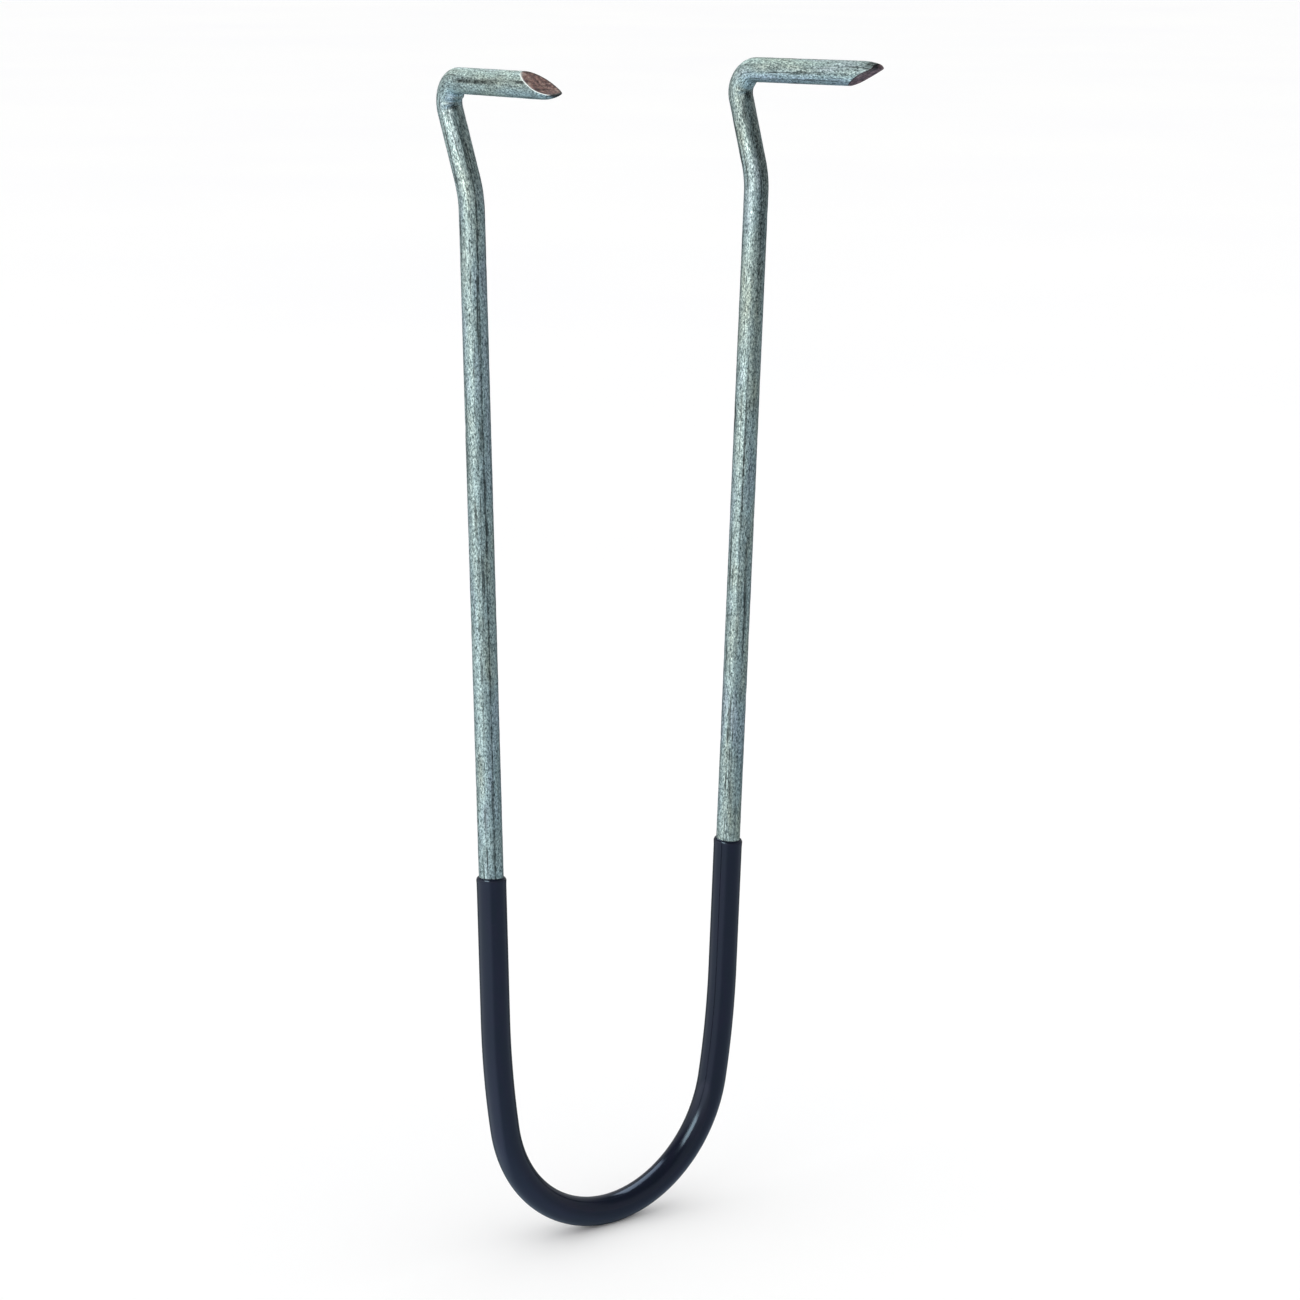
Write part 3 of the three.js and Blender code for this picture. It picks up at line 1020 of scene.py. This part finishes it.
# The room's light as the eye sees it, and as reflections do: its glow by direction, then by height
EVEN_LIGHT = 1.36
ROOM_LIGHT = 2.0
ROOM_COLOUR = (0.018, 0.024, 0.030, 1.0)
GLOW_TURN = 56
GLOW_ROUND = [(0.0, 0.16), (0.30, 0.20), (0.60, 0.20), (0.78, 0.34), (0.92, 0.60)]
GLOW_UP = [(0.0, 1.0), (0.45, 0.75), (0.75, 0.04)]

# The floor in reflections: its colours round to its bright side, then how far it dims behind the
# hook and where it is seen at a shallow angle
FLOOR_GLOW_TURN = 64
FLOOR_GLOW = [
    (0.0, (0.62, 0.74, 0.84)),
    (0.66, (0.62, 0.74, 0.84)),
    (0.86, (1.36, 1.48, 1.58)),
    (1.0, (1.42, 1.54, 1.62)),
]
FLOOR_BEHIND = [(0.02, 0.25), (0.30, 1.0)]
FLOOR_STEEPNESS = [(0.25, (0.50, 0.50, 0.50)), (0.75, (0.78, 0.83, 0.90))]


def level_way(turn):
    """The level direction from the hook that is turn degrees to the left of the camera."""
    angle = CAMERA_TURN + math.radians(turn)
    return np.array([-math.sin(angle), -math.cos(angle), 0.0])


def pale_floor():
    """Matt white to the eye. Reflections see it bright on one side and dim behind the hook."""
    s = Shader("pale_floor")
    place = s.add("ShaderNodeTexCoord").outputs["Object"]
    mottle = s.noise(s.stretched(place, (4.0, 4.0, 4.0)), detail=2.0)
    base = s.ramp(mottle, [(0.3, (0.955, 0.955, 0.96)), (0.7, (0.97, 0.97, 0.965))])
    towards = s.add("ShaderNodeNewGeometry").outputs["Incoming"]

    def seen(turn):
        """How far the view runs towards the level direction at turn, from 0 to 1."""
        return s.spread(s.facing(towards, tuple(-level_way(turn))), -1.0, 1.0)

    dimmed = s.ramp(seen(FLOOR_GLOW_TURN), FLOOR_GLOW, smooth=True)
    dimmed = s.mix(1.0, dimmed, s.ramp(seen(0), FLOOR_BEHIND, smooth=True), "MULTIPLY")
    steepness = s.facing(towards, tuple(UP))
    dimmed = s.mix(1.0, dimmed, s.ramp(steepness, FLOOR_STEEPNESS), "MULTIPLY")
    glossy = s.add("ShaderNodeLightPath").outputs["Is Glossy Ray"]
    return s.finish(Base_Color=s.mix(glossy, base, dimmed), Roughness=0.9)


def build_floor():
    low, _ = CAD_BOUNDS
    mesh = bpy.data.meshes.new("studio_floor")
    half, level = FLOOR_SIZE / 2, low[2]
    corners = [(x * half, y * half, level) for x, y in ((-1, -1), (1, -1), (1, 1), (-1, 1))]
    mesh.from_pydata(corners, [], [(0, 1, 2, 3)])
    floor = bpy.data.objects.new("studio_floor", mesh)
    floor.data.materials.append(pale_floor())
    bpy.context.scene.collection.objects.link(floor)


def build_camera():
    aim = np.array([AIM_ASIDE, leg_plane(), AIM_HEIGHT])
    forward = np.array([
        math.cos(CAMERA_DROP) * math.sin(CAMERA_TURN),
        math.cos(CAMERA_DROP) * math.cos(CAMERA_TURN),
        -math.sin(CAMERA_DROP),
    ])
    camera = bpy.data.objects.new("camera", bpy.data.cameras.new("camera"))
    camera.data.lens = CAMERA_LENS
    camera.data.clip_start = CLIP_START
    camera.data.clip_end = 2 * FLOOR_SIZE
    facing = Vector(forward).to_track_quat("-Z", "Y").to_matrix().to_4x4()
    eye = Vector((aim - forward * CAMERA_DISTANCE) * MM)
    camera.matrix_world = Matrix.Translation(eye) @ facing @ Matrix.Rotation(CAMERA_ROLL, 4, "Z")
    bpy.context.scene.collection.objects.link(camera)
    bpy.context.scene.camera = camera


def add_softbox(receiver, name, turn, rise, size, radiance, colour):
    """A rectangular light that reaches only one piece, aimed at the middle of the hook."""
    light = bpy.data.objects.new(name, bpy.data.lights.new(name, "AREA"))
    light.data.shape = "RECTANGLE"
    light.data.size, light.data.size_y = size
    light.data.energy = radiance * math.pi * size[0] * size[1]
    light.data.color = colour
    lit = bpy.data.collections.new(name + "_lights")
    lit.objects.link(receiver)
    light.light_linking.receiver_collection = lit
    up = math.radians(rise)
    way = Vector(level_way(turn) * math.cos(up) + UP * math.sin(up))
    place = Vector((0.0, 0.0, OVERALL_HEIGHT / 2 * MM)) + way * LIGHT_DISTANCE
    facing = way.to_track_quat("Z", "Y").to_matrix().to_4x4()
    light.matrix_world = Matrix.Translation(place) @ facing
    bpy.context.scene.collection.objects.link(light)


def build_world():
    """Even white light to the eye, and a darker room with one bright side to reflections."""
    world = bpy.data.worlds.new("studio")
    world.use_nodes = True
    world.cycles.sampling_method = "NONE"
    n = Nodes(world.node_tree)
    output = n.add("ShaderNodeOutputWorld")
    even, room = n.add("ShaderNodeBackground"), n.add("ShaderNodeBackground")
    even.inputs["Strength"].default_value = EVEN_LIGHT
    way = n.add("ShaderNodeTexCoord").outputs["Generated"]
    beside = n.spread(n.facing(way, tuple(level_way(GLOW_TURN))), -1.0, 1.0)
    round_glow = n.ramp(beside, GLOW_ROUND, smooth=True)
    height = n.spread(n.facing(way, tuple(UP)), 0.0, 1.0)
    glow = n.mix(1.0, round_glow, n.ramp(height, GLOW_UP, smooth=True), "MULTIPLY")
    n.put(room.inputs["Color"], n.mix(1.0, glow, ROOM_COLOUR, "ADD"))
    room.inputs["Strength"].default_value = ROOM_LIGHT
    mixed = n.add("ShaderNodeMixShader")
    n.put(mixed.inputs["Fac"], n.add("ShaderNodeLightPath").outputs["Is Glossy Ray"])
    n.put(mixed.inputs[1], even.outputs["Background"])
    n.put(mixed.inputs[2], room.outputs["Background"])
    n.put(output.inputs["Surface"], mixed.outputs["Shader"])
    bpy.context.scene.world = world


def build_studio(wire, coating):
    build_floor()
    build_camera()
    build_world()
    for receiver, lights in ((wire, STEEL_LIGHTS), (coating, VINYL_LIGHTS)):
        for light in lights:
            add_softbox(receiver, *light)
    settings = bpy.context.scene.view_settings
    settings.view_transform = "Standard"
    settings.look = "None"


# --------------------------------------------------------------------------------- assembly


def place_pieces():
    wire = build_wire()
    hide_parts("steel_wire")
    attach(wire, "root")
    coating = build_coating()
    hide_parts("vinyl_coating")
    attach(coating, "root")
    return wire, coating


build_studio(*place_pieces())
